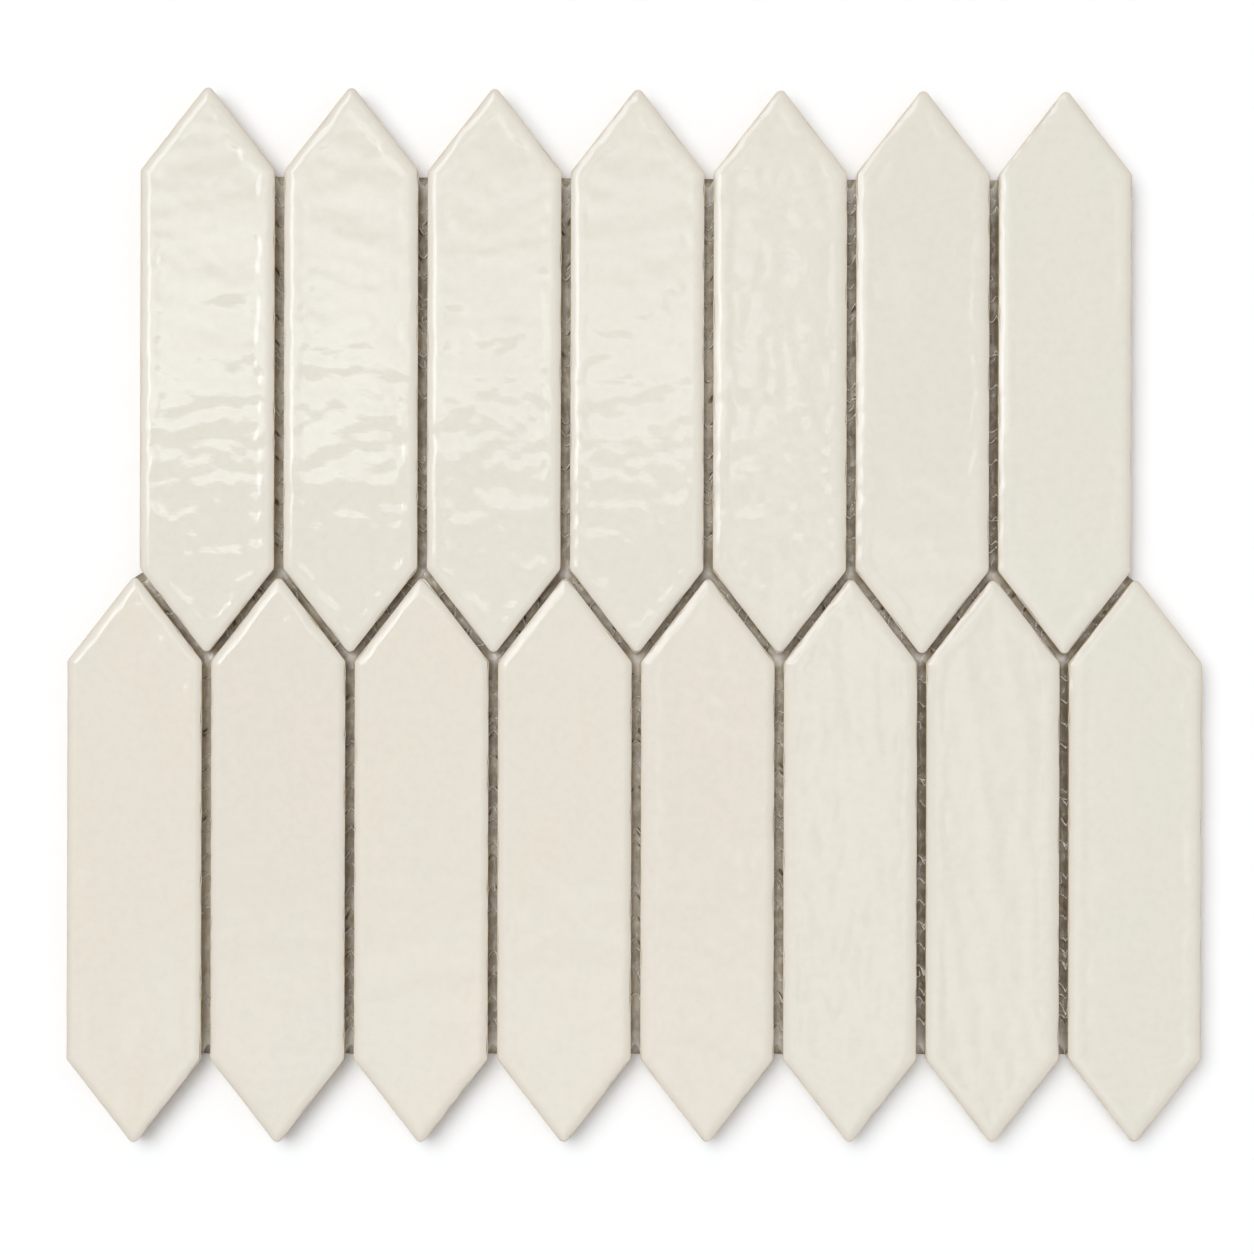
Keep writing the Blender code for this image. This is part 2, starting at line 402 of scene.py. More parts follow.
def ring_insets():
    """Where the rings of the top lie: close together on the edge, wider in the field."""
    roll = [ROLL_WIDTH * (1 - math.cos(math.pi / 2 * step / ROLL_RINGS)) for step in range(1, ROLL_RINGS + 1)]
    bevel = [ROLL_WIDTH + (CREST - ROLL_WIDTH) * step / BEVEL_RINGS for step in range(1, BEVEL_RINGS + 1)]
    dish = [CREST + DISH_WIDTH * (step / DISH_RINGS) ** DISH_SPACING for step in range(1, DISH_RINGS + 1)]
    start = CREST + DISH_WIDTH
    field = [start + (FIELD_END - start) * step / FIELD_RINGS for step in range(1, FIELD_RINGS + 1)]
    return roll + bevel + dish + field


print("Rings on the top:", len(ring_insets()))

# %% [markdown]
# Melted glaze never lies flat: it stands in slow waves a hundredth of a millimetre high, and only the
# gloss shows them. A noise texture with a bump could fake that, but the waves would be gone from the
# mesh. So each picket gets sums of sine waves, drawn from its own seed: ripples that cross it, streaks
# that run along it, a slow roll and small blotches with no direction, and pools just inside its rim.

# %% Slow waves in the glaze
ACROSS, ALONG, ANY_WAY = math.pi / 2, 0.0, None
RIPPLE_SLOPE, RIPPLE_LENGTHS = 0.010, (5 * MM, 20 * MM)
STREAK_SLOPE, STREAK_LENGTHS = 0.004, (4 * MM, 14 * MM)
ROLL_SLOPE, ROLL_LENGTHS = 0.004, (15 * MM, 60 * MM)
BLOTCH_SLOPE, BLOTCH_LENGTHS = 0.010, (3 * MM, 8 * MM)
RIM_SLOPE, RIM_LENGTHS = 0.020, (3.5 * MM, 14 * MM)
RIM_PLACE = 4.2 * MM
RIM_WIDTH = 1.6 * MM
EDGE_WAVES = 24


def waves(rng, x, y, heading, spread, lengths, slope, count=40):
    """A smooth random height over x and y, whose slopes have about the size asked for."""
    height = np.zeros_like(x)
    for _ in range(count):
        length = math.exp(rng.uniform(math.log(lengths[0]), math.log(lengths[1])))
        angle = rng.uniform(0.0, 2 * math.pi) if heading is None else heading + rng.normal(0.0, spread)
        phase = rng.uniform(0.0, 2 * math.pi)
        turns = 2 * math.pi / length
        height += slope * math.sqrt(2 / count) / turns * np.sin(
            turns * (x * math.cos(angle) + y * math.sin(angle)) + phase)
    return height


def glaze_waves(rng, x, y, inset, ripple, streak):
    """The kinds of wave together. ripple and streak say how strong two of them are."""
    crossing = waves(rng, x, y, ACROSS, 0.35, RIPPLE_LENGTHS, RIPPLE_SLOPE * ripple, count=90)
    running = waves(rng, x, y, ALONG, 0.25, STREAK_LENGTHS, STREAK_SLOPE * streak, count=60)
    rolling = waves(rng, x, y, ANY_WAY, 0.0, ROLL_LENGTHS, ROLL_SLOPE)
    blotches = waves(rng, x, y, ANY_WAY, 0.0, BLOTCH_LENGTHS, BLOTCH_SLOPE * ripple, count=90)
    on_rim = np.exp(-((inset - RIM_PLACE) / RIM_WIDTH) ** 2)
    pooled = waves(rng, x, y, ANY_WAY, 0.0, RIM_LENGTHS, RIM_SLOPE, count=60) * on_rim
    return crossing + running + rolling + blotches + pooled


def edge_wander(rng, along, size, lengths):
    """A smooth random size for each point along the outline, for an edge that isn't quite straight."""
    total = along[-1] + (along[1] - along[0])
    wander = np.zeros_like(along)
    for _ in range(EDGE_WAVES):
        turns = max(1, round(total / rng.uniform(*lengths)))
        wander += np.sin(2 * math.pi * turns * along / total + rng.uniform(0.0, 2 * math.pi))
    return size * wander / math.sqrt(EDGE_WAVES / 2)


print("Slopes of the waves:", RIPPLE_SLOPE, STREAK_SLOPE, ROLL_SLOPE, BLOTCH_SLOPE, "and", RIM_SLOPE)

# %% [markdown]
# Below its glaze a picket has drafted walls, and its back has shallow pockets that grip the mortar.
# A Boolean modifier could cut them, but it leaves long thin faces that shade badly. So the rings are
# joined into a skin from the back up, the pockets are drawn inside the back's rim, and a triangle fill
# closes what lies between them.

# %% Build one picket
WALL_RINGS = 7
SHARP_ANGLE = math.radians(50)
KEY_POCKETS = 5
KEY_MARGIN = 4.5 * MM
KEY_RIB = 3.5 * MM
KEY_DEPTH = 0.5 * MM
EDGE_SLACK, SLACK_LENGTHS = 0.012 * MM, (6 * MM, 40 * MM)
CREST_WANDER, CREST_LENGTHS = 0.12 * MM, (5 * MM, 30 * MM)
SLACK_LIMIT = 2.5 * EDGE_SLACK
SLACK_REACH = 3 * MM
WALL_PROBE = 0.1 * MM
TOP_PROBE = 0.05 * MM
WAVES_START = 0.4 * MM
WAVES_EASE = 4 * MM
BACK_DISTANCE = -3.0 * MM
WALL_FOOT_DISTANCE = -2.0 * MM


def slack_ring(inset, slack, probe):
    """A ring whose points lie further in than the inset, each by its own slack. The probe finds inward."""
    points = ring_points(inset)
    inward = (ring_points(inset + probe) - points) / probe
    return points + inward * slack[:, None]


def picket_rings(rng):
    """Every ring of a picket from its back up, as arrays of x, y, z and distance in from the edge."""
    outer = ring_points(0.0)
    steps = np.linalg.norm(np.roll(outer, -1, axis=0) - outer, axis=1)
    along = np.concatenate([[0.0], np.cumsum(steps)[:-1]])
    slack = np.abs(edge_wander(rng, along, EDGE_SLACK, SLACK_LENGTHS))
    slack = np.minimum(slack, SLACK_LIMIT)
    crest_shift = edge_wander(rng, along, CREST_WANDER, CREST_LENGTHS)
    rings = [(ring_points(SIDE_DRAFT + BACK_ARRIS), np.zeros(RING_COUNT), BACK_DISTANCE)]
    for step in range(WALL_RINGS):
        share = step / WALL_RINGS
        height = BACK_ARRIS + (WALL_TOP - BACK_ARRIS) * share
        points = slack_ring(SIDE_DRAFT * (1 - share), slack * share, WALL_PROBE)
        rings.append((points, np.full(RING_COUNT, height), WALL_FOOT_DISTANCE * (1 - share)))
    for inset in [0.0] + ring_insets():
        points = slack_ring(inset, slack * max(0.0, 1 - inset / SLACK_REACH), TOP_PROBE)
        wander_share = min(1.0, inset / ROLL_WIDTH)
        rings.append((points, glaze_height(inset + crest_shift * wander_share), inset))
    return rings


def closing_faces(first):
    """Quads across the innermost ring, which join its right side to its left side."""
    lower_tip = RING_COUNT - SLANT_STEPS - TIP_STEPS // 2
    count = RING_COUNT // 2
    right = [first + (lower_tip + step) % RING_COUNT for step in range(count + 1)]
    left = [first + (lower_tip - step) % RING_COUNT for step in range(count + 1)]
    faces = [(right[0], right[1], left[1])]
    faces += [(right[step], right[step + 1], left[step + 1], left[step]) for step in range(1, count - 1)]
    faces.append((right[count - 1], right[count], left[count - 1]))
    return faces


def press_keys(model, rim):
    """Closes the back inside its rim, with a row of shallow pockets that give the mortar a grip."""
    distance = model.verts.layers.float["edge_distance"]
    straight = 2 * sharp_corners(0.0)[1][1]
    half_long = (straight - (KEY_POCKETS - 1) * KEY_RIB) / KEY_POCKETS / 2
    half_wide = HALF_WIDTH - KEY_MARGIN
    edges = [model.edges.get((rim[place - 1], rim[place])) for place in range(len(rim))]
    for pocket in range(KEY_POCKETS):
        middle = (pocket - (KEY_POCKETS - 1) / 2) * (2 * half_long + KEY_RIB)
        low, high = middle - half_long, middle + half_long
        corners = [(-half_wide, low), (half_wide, low), (half_wide, high), (-half_wide, high)]
        mouth = [model.verts.new((x, y, 0.0)) for x, y in corners]
        floor = [model.verts.new((x, y, KEY_DEPTH)) for x, y in corners]
        for vertex in mouth + floor:
            vertex[distance] = BACK_DISTANCE / MM
        model.faces.new(floor)
        for place in range(4):
            model.faces.new((mouth[place - 1], mouth[place], floor[place], floor[place - 1]))
            edges.append(model.edges.get((mouth[place - 1], mouth[place])))
    bmesh.ops.triangle_fill(model, use_beauty=True, edges=edges)


def picket_mesh(name, seed, ripple, streak):
    """One glazed picket: rings lofted into a skin, with keyed pockets pressed into its back."""
    rng = np.random.default_rng(seed)
    rings = picket_rings(rng)
    x = np.concatenate([points[:, 0] for points, _, _ in rings])
    y = np.concatenate([points[:, 1] for points, _, _ in rings])
    z = np.concatenate([height for _, height, _ in rings])
    inset = np.concatenate([np.full(RING_COUNT, where) for _, _, where in rings])
    free = np.clip((inset - WAVES_START) / WAVES_EASE, 0.0, 1.0)
    z = z + np.where(inset > 0.0, glaze_waves(rng, x, y, inset, ripple, streak) * free, 0.0)
    z = np.minimum(z, PICKET_THICKNESS)
    ring = np.arange(RING_COUNT)
    following = (ring + 1) % RING_COUNT
    faces = []
    for place in range(len(rings) - 1):
        low, high = place * RING_COUNT, (place + 1) * RING_COUNT
        faces.append(np.stack([low + ring, low + following, high + following, high + ring], axis=1))
    quads = np.concatenate(faces).tolist()
    quads += closing_faces((len(rings) - 1) * RING_COUNT)
    points = np.stack([x, y, z], axis=1)
    mesh = bpy.data.meshes.new(name)
    mesh.from_pydata(points.tolist(), [], quads)
    distance = mesh.attributes.new("edge_distance", "FLOAT", "POINT")
    distance.data.foreach_set("value", (inset / MM).astype(np.float32))
    model = bmesh.new()
    model.from_mesh(mesh)
    model.verts.ensure_lookup_table()
    press_keys(model, model.verts[:RING_COUNT])
    bmesh.ops.recalc_face_normals(model, faces=model.faces[:])
    open_edges = sum(1 for edge in model.edges if len(edge.link_faces) != 2)
    model.to_mesh(mesh)
    model.free()
    mesh.shade_smooth()
    mesh.set_sharp_from_angle(angle=SHARP_ANGLE)
    return mesh, open_edges


print("Rings in a picket:", WALL_RINGS + len(ring_insets()) + 2)

# %% [markdown]
# The glaze is a milky cream over a pink-beige clay. Where it runs thin, over the edge and down the
# side, the clay shows through, and from one firing to the next the cream turns a little rosy or cool.
# One flat colour would lose all of that. So the mesh carries each point's distance from the edge, a
# ramp turns that into colour, and soft blotches of a second tint lie over the field.

# %% Glaze
EDGE_COLOURS = [
    (-0.80, srgb(190, 168, 132)),
    (-0.10, srgb(206, 190, 158)),
    (0.10, srgb(214, 201, 178)),
    (0.28, srgb(217, 207, 192)),
    (0.90, srgb(222, 215, 203)),
]
FIELD_START = 2.0
RAMP_SPAN = (-1.0, 3.0)
BISQUE = srgb(222, 206, 186)
GLAZE_LINE = (-1.80, -1.65)
BISQUE_ROUGHNESS = 0.8
GLAZE_ROUGHNESS = 0.02
GLAZE_IOR = 1.5
BLOTCH_SCALE = 55.0
GRAIN_SCALE = 420.0
GRAIN_SHADE = 0.95
EDGE_WAVER_SCALE = 240.0
DIMPLE_SCALE = 480.0
DIMPLE_DEPTH = 1.0 * MM
DIMPLE_STRENGTH = 0.012
# The field's colour and the tint of its blotches in each shade of the glaze.
SHADES = {
    "cream": ((0.770, 0.728, 0.634), (0.780, 0.736, 0.640)),
    "pale": ((0.762, 0.720, 0.626), (0.775, 0.727, 0.630)),
    "rosy": ((0.768, 0.719, 0.629), (0.777, 0.713, 0.618)),
    "warm": ((0.778, 0.729, 0.633), (0.787, 0.725, 0.621)),
    "cool": ((0.764, 0.730, 0.639), (0.780, 0.734, 0.639)),
}


def noise(tree, vector, scale, detail=2.0, roughness=0.5):
    """A noise texture's output over the vector."""
    node = tree.nodes.new("ShaderNodeTexNoise")
    node.inputs["Scale"].default_value = scale
    node.inputs["Detail"].default_value = detail
    node.inputs["Roughness"].default_value = roughness
    tree.links.new(vector, node.inputs["Vector"])
    return node.outputs["Fac"]


def stretched(tree, vector, scale):
    """The vector scaled along its axes, so that a pattern is longer one way."""
    node = tree.nodes.new("ShaderNodeMapping")
    node.inputs["Scale"].default_value = scale
    tree.links.new(vector, node.inputs["Vector"])
    return node.outputs["Vector"]


def attribute(tree, name):
    """A value that the mesh carries for each point."""
    node = tree.nodes.new("ShaderNodeAttribute")
    node.attribute_name = name
    return node.outputs["Fac"]


def add_bump(tree, shader, height, distance, strength):
    """Lets a height tilt the shading, without moving the surface."""
    bump = tree.nodes.new("ShaderNodeBump")
    bump.inputs["Distance"].default_value = distance
    bump.inputs["Strength"].default_value = strength
    tree.links.new(height, bump.inputs["Height"])
    tree.links.new(bump.outputs["Normal"], shader.inputs["Normal"])


def glaze_material(shade):
    """The glossy glaze in one of its shades."""
    field, blotch = ((*colour, 1.0) for colour in SHADES[shade])
    material, tree, shader = new_material(f"{shade}_glaze")
    shader.inputs["IOR"].default_value = GLAZE_IOR
    place = tree.nodes.new("ShaderNodeNewGeometry").outputs["Position"]
    drawn_out = stretched(tree, place, (1.0, 0.5, 1.0))
    blotches = ramp_between(tree, noise(tree, drawn_out, BLOTCH_SCALE, 3.0), 0.35, 0.65)
    grain = noise(tree, place, GRAIN_SCALE, 4.0, 0.65)
    body = mix_colours(tree, blotches, field, blotch)
    darker = tuple(value * GRAIN_SHADE for value in field[:3]) + (1.0,)
    body = mix_colours(tree, ramp_between(tree, grain, 0.35, 0.75, 0.0, 0.7), body, darker)
    wavy = math_node(tree, "MULTIPLY_ADD", noise(tree, place, EDGE_WAVER_SCALE), 0.5)
    wavy.node.inputs[2].default_value = -0.25
    reach = math_node(tree, "ADD", attribute(tree, "edge_distance"), wavy)
    ramp = tree.nodes.new("ShaderNodeValToRGB")
    low, high = RAMP_SPAN
    tree.links.new(ramp_between(tree, reach, low, high, smooth=False), ramp.inputs["Fac"])
    stops = ramp.color_ramp.elements
    stops[0].position, stops[0].color = 0.0, EDGE_COLOURS[0][1]
    stops[1].position, stops[1].color = 1.0, EDGE_COLOURS[-1][1]
    for where, colour in EDGE_COLOURS:
        stops.new((where - low) / (high - low)).color = colour
    inner = ramp_between(tree, reach, EDGE_COLOURS[-1][0], FIELD_START)
    glazed = ramp_between(tree, reach, *GLAZE_LINE)
    colour = mix_colours(tree, glazed, BISQUE, mix_colours(tree, inner, ramp.outputs["Color"], body))
    tree.links.new(colour, shader.inputs["Base Color"])
    finish = ramp_between(tree, reach, *GLAZE_LINE, BISQUE_ROUGHNESS, GLAZE_ROUGHNESS)
    tree.links.new(finish, shader.inputs["Roughness"])
    dimples = noise(tree, stretched(tree, place, (1.0, 1.8, 1.0)), DIMPLE_SCALE, 2.5, 0.55)
    add_bump(tree, shader, dimples, DIMPLE_DEPTH, DIMPLE_STRENGTH)
    return material


glazes = {shade: glaze_material(shade) for shade in SHADES}
print("Glaze shades:", ", ".join(glazes))

# %% [markdown]
# No two fired pickets are alike: the pour and the kiln give each its own shade and its own waves. One
# mesh could be shared by all fifteen, but then every highlight would fall the same. So each picket gets
# a mesh from its own seed and a shade from a table, and it stands in the plain one's place.

# %% Lay the pickets
# Each picket's shade, and how strongly ripples and streaks show in its glaze.
FIRED = {
    "tile_upper_1": ("cream", 1.0, 0.8),
    "tile_upper_2": ("cream", 1.0, 0.8),
    "tile_upper_3": ("cream", 1.2, 0.8),
    "tile_upper_4": ("cream", 1.1, 0.8),
    "tile_upper_5": ("pale", 1.2, 3.0),
    "tile_upper_6": ("pale", 0.6, 1.5),
    "tile_upper_7": ("cool", 0.6, 1.0),
    "tile_lower_1": ("warm", 0.6, 1.0),
    "tile_lower_2": ("rosy", 0.8, 0.8),
    "tile_lower_3": ("warm", 0.8, 1.5),
    "tile_lower_4": ("warm", 0.8, 0.8),
    "tile_lower_5": ("rosy", 1.0, 0.8),
    "tile_lower_6": ("pale", 0.8, 4.0),
    "tile_lower_7": ("pale", 0.6, 2.5),
    "tile_lower_8": ("cool", 0.6, 1.0),
}


def lay_picket(node, seed):
    """A glazed picket in place of the plain one in the frame."""
    shade, ripple, streak = FIRED[node]
    low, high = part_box(node)
    mesh, open_edges = picket_mesh(node + "_glazed", seed, ripple, streak)
    if open_edges:
        print(node, "has", open_edges, "edges left open")
    mesh.materials.append(glazes[shade])
    picket = add_object(node + "_glazed", mesh)
    picket.location = ((low.x + high.x) / 2, (low.y + high.y) / 2, low.z)
    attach(picket, "root")
    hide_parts(node)
    return picket


pickets = [lay_picket(node, seed) for seed, node in enumerate(FIRED, start=11)]
print("Pickets:", len(pickets), "with", len(pickets[0].data.polygons), "faces each")


# %% [markdown]
# Between the pickets the adhesive has run up into the joints and set there as a thin tan skin.
# A flat plane with a noisy bump would be enough from straight above, but the skin climbs the walls
# beside it, and that curve is what makes a joint look filled. So it is made as strips, one for each
# joint, whose ends are mitred so that three of them meet cleanly where three joints do.

# %% Where the joints run
SIDE_JOINT = 2.4 * MM
FILM_SETBACK = 0.25 * MM
FILM_SAG = 2.2 * MM
FILM_ROUNDNESS = 1.8
WALL_TUCK = 0.3 * MM
MEETING_DROP = 0.98 * MM
SHOULDER = SHARP_TIP - HALF_WIDTH / math.tan(HALF_POINT)


def row_centres(row):
    """The centres of one row's pickets, from left to right."""
    boxes = [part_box(node) for node in FIRED if node.startswith(f"tile_{row}")]
    return [Vector(((low.x + high.x) / 2, (low.y + high.y) / 2)) for low, high in boxes]


def corner_facts(corner):
    """A corner's tucked-in radius, half its angle, and how far along a side its middle lies."""
    radius, half = TIP_RADIUS, HALF_POINT
    if corner not in (TOP, BOTTOM):
        radius, half = SHOULDER_RADIUS, (math.pi - HALF_POINT) / 2
    radius -= WALL_TUCK
    return radius, half, radius * (1 / math.sin(half) - 1) * math.cos(half)


class Wall:
    """The side of a picket from one of its corners to another, just inside its surface."""

    def __init__(self, centre, first, last):
        corners = [Vector(corner) for corner in sharp_corners(WALL_TUCK)]
        self.start = centre + corners[first]
        self.run = corners[last] - corners[first]
        self.length = self.run.length
        self.run.normalize()
        self.inward = Vector((-self.run.y, self.run.x))
        if self.inward.dot(corners[first]) > 0:
            self.inward.negate()
        self.first, self.last = corner_facts(first), corner_facts(last)
        self.reach = [self.first[2], self.length - self.last[2]]

    def begin_at(self, place):
        """Makes the wall start beside a given place."""
        self.reach[0] = (place - self.start).dot(self.run)

    def points(self, shares):
        """Points on the wall, at shares of its length."""
        along = self.reach[0] + (self.reach[1] - self.reach[0]) * shares
        away = np.zeros_like(along)
        for gone, (radius, half, _) in ((along, self.first), (self.length - along, self.last)):
            left = np.clip(radius / math.tan(half) - gone, 0.0, radius)
            away += radius - np.sqrt(radius ** 2 - left ** 2)
        return np.array(self.start) + np.outer(along, self.run) + np.outer(away, self.inward)


class Joint:
    """A gap between two walls. Its middle line runs from one meeting point, or open end, to another."""

    def __init__(self, name, near, far, start, end, is_open):
        self.name, self.near, self.far = name, near, far
        self.is_open = is_open
        if is_open:
            near.begin_at(start)
            far.begin_at(start)
            ends = near.points(np.zeros(1))[0] + far.points(np.zeros(1))[0]
            start = Vector(ends) / 2 + near.run * FILM_SAG
        self.start, self.end = start, end
        self.length = (end - start).length

    def places(self, across, shares):
        """Points of the joint: across goes from -1 at the near wall to 1 at the far one."""
        near, far = self.near.points(shares), self.far.points(shares)
        middle = np.outer(1 - shares, self.start) + np.outer(shares, self.end)
        mitre = 1 - np.abs(across)
        if self.is_open:
            mitre = mitre * shares + (1 - np.abs(across) ** FILM_ROUNDNESS) * (1 - shares)
        chord = near * ((1 - across) / 2)[:, None] + far * ((1 + across) / 2)[:, None]
        return chord + (middle - (near + far) / 2) * mitre[:, None]


def meeting(centre, side):
    """Where three joints meet, above (side 1) or below (side -1) the row line."""
    return Vector((centre, side * (upper_row[0].y - SHOULDER - MEETING_DROP)))


def side_joints(row, name, open_side):
    """The upright joints of one row, from their open ends to where they meet the slanted ones."""
    joints = []
    corners = (UPPER_RIGHT, LOWER_RIGHT, UPPER_LEFT, LOWER_LEFT)
    if open_side < 0:
        corners = (LOWER_RIGHT, UPPER_RIGHT, LOWER_LEFT, UPPER_LEFT)
    for place, (left, right) in enumerate(zip(row, row[1:]), start=1):
        x = (left.x + right.x) / 2
        mouth = Vector((x, left.y + open_side * (SHOULDER - FILM_SETBACK)))
        near, far = Wall(left, *corners[:2]), Wall(right, *corners[2:])
        joints.append(Joint(f"{name}_{place}", near, far, mouth, meeting(x, open_side), True))
    return joints


def slanted_joints():
    """The joints between the points of the two rows, from each upper shoulder down to the tip."""
    joints = []
    for place, upper in enumerate(upper_row):
        for side, lower in ((-1, lower_row[place]), (1, lower_row[place + 1])):
            shoulder, facing = (LOWER_LEFT, UPPER_RIGHT) if side < 0 else (LOWER_RIGHT, UPPER_LEFT)
            near, far = Wall(upper, shoulder, BOTTOM), Wall(lower, TOP, facing)
            is_open = (place, side) in ((0, -1), (len(upper_row) - 1, 1))
            start = meeting(lower.x, 1)
            if is_open:
                start = near.start + near.run * FILM_SETBACK
            joints.append(Joint(f"slant_{place + 1}_{side}", near, far, start, meeting(upper.x, -1), is_open))
    return joints


upper_row, lower_row = row_centres("upper"), row_centres("lower")
joints = side_joints(upper_row, "upper", 1) + side_joints(lower_row, "lower", -1) + slanted_joints()
total_run = sum(joint.length for joint in joints)
print("Joints:", len(joints), "and their length in all:", round(total_run, 3), "m")

# %% [markdown]
# The skin stands a little above the backing in the middle of a joint, climbs both walls, and rises and
# sinks slowly as squeezed adhesive does. Short of a wall it has small pits, left by trapped air. It
# could be sculpted, but then strips would disagree where they meet. So its height is one function of
# the place, the same for every strip.

# %% The height of the adhesive skin
BED_TOP = 0.88 * MM
BED_FILM = 0.08 * MM
LIP = 0.03 * MM
LIP_FILM = 0.05 * MM
SKIN_LEVEL = 0.75 * MM
SKIN_ROLL = 0.16 * MM
SKIN_GRAIN = 0.03 * MM
CLIMB = 1.1 * MM
CLIMB_REACH = 0.26 * MM
CLIMB_CHANGE = 0.9
CLIMB_LIMITS = (0.15, 2.2)
HALF_JOINT = SIDE_JOINT / 2
END_THINNING = 5.0 * MM
END_LOSS = 0.45
END_ROUNDING = 0.5 * MM
# The skin is painted paler towards an open end, for its thinning and for the light that reaches in from the
# open side, and paler where three joints meet, as painted sheen.
END_PALING = 3.5 * MM
MEETING_SHEEN_REACH = 1.3 * MM
MEETING_SHEEN = 0.75


def smooth_field(seed, lengths, count=60):
    """A function that gives a smooth random value, about -1 to 1, for any place."""
    rng = np.random.default_rng(seed)
    sizes = np.exp(rng.uniform(math.log(lengths[0]), math.log(lengths[1]), count))
    angles, phases = rng.uniform(0.0, 2 * math.pi, (2, count))

    def value(x, y):
        total = np.zeros_like(x)
        for size, angle, phase in zip(sizes, angles, phases):
            total += np.sin(2 * math.pi / size * (x * math.cos(angle) + y * math.sin(angle)) + phase)
        return total * math.sqrt(2 / count) * 0.7

    return value


# How pale the adhesive is in each side joint, from left to right, darker at the right, and in every slanted
# one.
JOINT_TONES = {
    "upper": (0.52, 0.23, 0.39, 0.50, 0.14, -0.28),
    "lower": (0.82, 0.26, 0.26, 0.50, 0.48, -0.32, -0.34),
}
SLANT_TONE = 0.28

skin_roll = smooth_field(101, (3 * MM, 14 * MM))
skin_climb = smooth_field(102, (2.5 * MM, 12 * MM))
skin_grain = smooth_field(103, (0.7 * MM, 2.0 * MM))


def skin_height(x, y, across, to_open_end):
    """How high the skin stands at a place, over its share across the joint and its way to an open end."""
    wall = (1 - np.abs(across)) * HALF_JOINT
    climb = CLIMB * np.clip(1 + CLIMB_CHANGE * skin_climb(x, y), *CLIMB_LIMITS)
    height = SKIN_LEVEL + SKIN_ROLL * skin_roll(x, y) + SKIN_GRAIN * skin_grain(x, y)
    height = height + climb * np.exp(-wall / CLIMB_REACH)
    thin = np.exp(-np.maximum(to_open_end, 0.0) / END_THINNING)
    edge = 1 - np.exp(-np.maximum(to_open_end, 0.0) / END_ROUNDING)
    low = LIP + LIP_FILM
    return low + (BED_TOP + BED_FILM - low + height * (1 - END_LOSS * thin)) * edge


skin_level = BED_TOP + BED_FILM + SKIN_LEVEL
print("The skin stands about", round(skin_level / MM, 2), "mm above the floor")

# %% [markdown]
# Where a strand of the glass mesh crosses a joint, the adhesive clings to it. The strand shows as a
# pale bridge, bent, hooked or forked, with a small ridge under it and often a pit at the wall beside it,
# painted dark as shade. Drawing each by hand would take hundreds of curves. So a bridge is a short path
# across its joint, of one of five habits, drawn from the joint's own seed at the pitch of the mesh.

# %% Where strands cross the joints
MESH_PITCH = 5.88 * MM
STRAND_RADIUS = 0.19 * MM
HABITS = {
    "straight": [[(-1.0, -0.1), (-0.4, 0.0), (0.3, 0.05), (1.0, 0.1)]],
    "slope": [[(-0.8, -0.5), (-0.2, -0.2), (0.4, 0.1), (1.0, 0.6)]],
    "hook": [[(-0.1, 1.6), (-0.25, 0.7), (-0.2, 0.0), (0.2, -0.25), (1.0, -0.2)]],
    "fork": [
        [(-1.0, 0.0), (-0.3, 0.05), (0.3, 0.0), (0.7, 0.35), (1.0, 0.55)],
        [(0.3, 0.0), (0.65, -0.3), (1.0, -0.6)],
    ],
    "stub": [[(0.1, -0.3), (0.45, 0.05), (0.7, 0.2), (1.0, 0.25)]],
}
HABIT_ODDS = (0.22, 0.22, 0.10, 0.24, 0.22)
PIT_PLACE = 0.72
FIRST_STRAND = (4.5, 8.0)
LAST_STRAND = 4.0 * MM
STRAND_ODDS = 0.88
PITCH_SHARES = (1.0, 1.0, 0.5)
PITCH_WANDER = 0.25


class Bridge:
    """A strand that crosses a joint: its paths, how far it stands out, and the pits beside it."""

    def __init__(self, way, rng):
        self.way = way
        habit = list(HABITS)[rng.choice(len(HABITS), p=HABIT_ODDS)]
        flip, turn = rng.choice((-1, 1), 2)
        bend = rng.normal(0.0, 0.25)
        size = rng.uniform(0.7, 1.3)
        self.rise = rng.uniform(-0.6, 1.0)
        self.paths = []
        for path in HABITS[habit]:
            points = [(flip * across, (turn * along * size + bend * across) * MM) for across, along in path]
            self.paths.append(np.array(points))
        self.pits = []
        for _ in range(rng.integers(0, 3)):
            where = flip * rng.choice((-1, 1)) * PIT_PLACE
            along = rng.normal(0.0, 0.5) * MM
            self.pits.append((where, along, rng.uniform(0.25, 0.6) * MM))


def find_bridges(joint, seed):
    """The bridges of one joint, at the mesh's pitch but not quite even."""
    rng = np.random.default_rng(seed)
    bridges = []
    way = rng.uniform(*FIRST_STRAND) * MM
    while way < joint.length - LAST_STRAND:
        if rng.random() < STRAND_ODDS:
            bridges.append(Bridge(way, rng))
        way += MESH_PITCH * rng.choice(PITCH_SHARES) + rng.normal(0.0, PITCH_WANDER) * MM
    return bridges


bridges = {joint.name: find_bridges(joint, 500 + place) for place, joint in enumerate(joints)}
print("Strands across the joints:", sum(len(found) for found in bridges.values()))

# %% [markdown]
# The skin could be one sheet pulled down by a Displace modifier, but its grid wouldn't follow the
# joints. So every strip is a grid of its own: rows along the joint and columns across it, closer
# together by the walls. Below its two edges it has a foot on the bed, and where three strips meet one
# triangle closes the underside. Welding the strips then gives one closed skin.

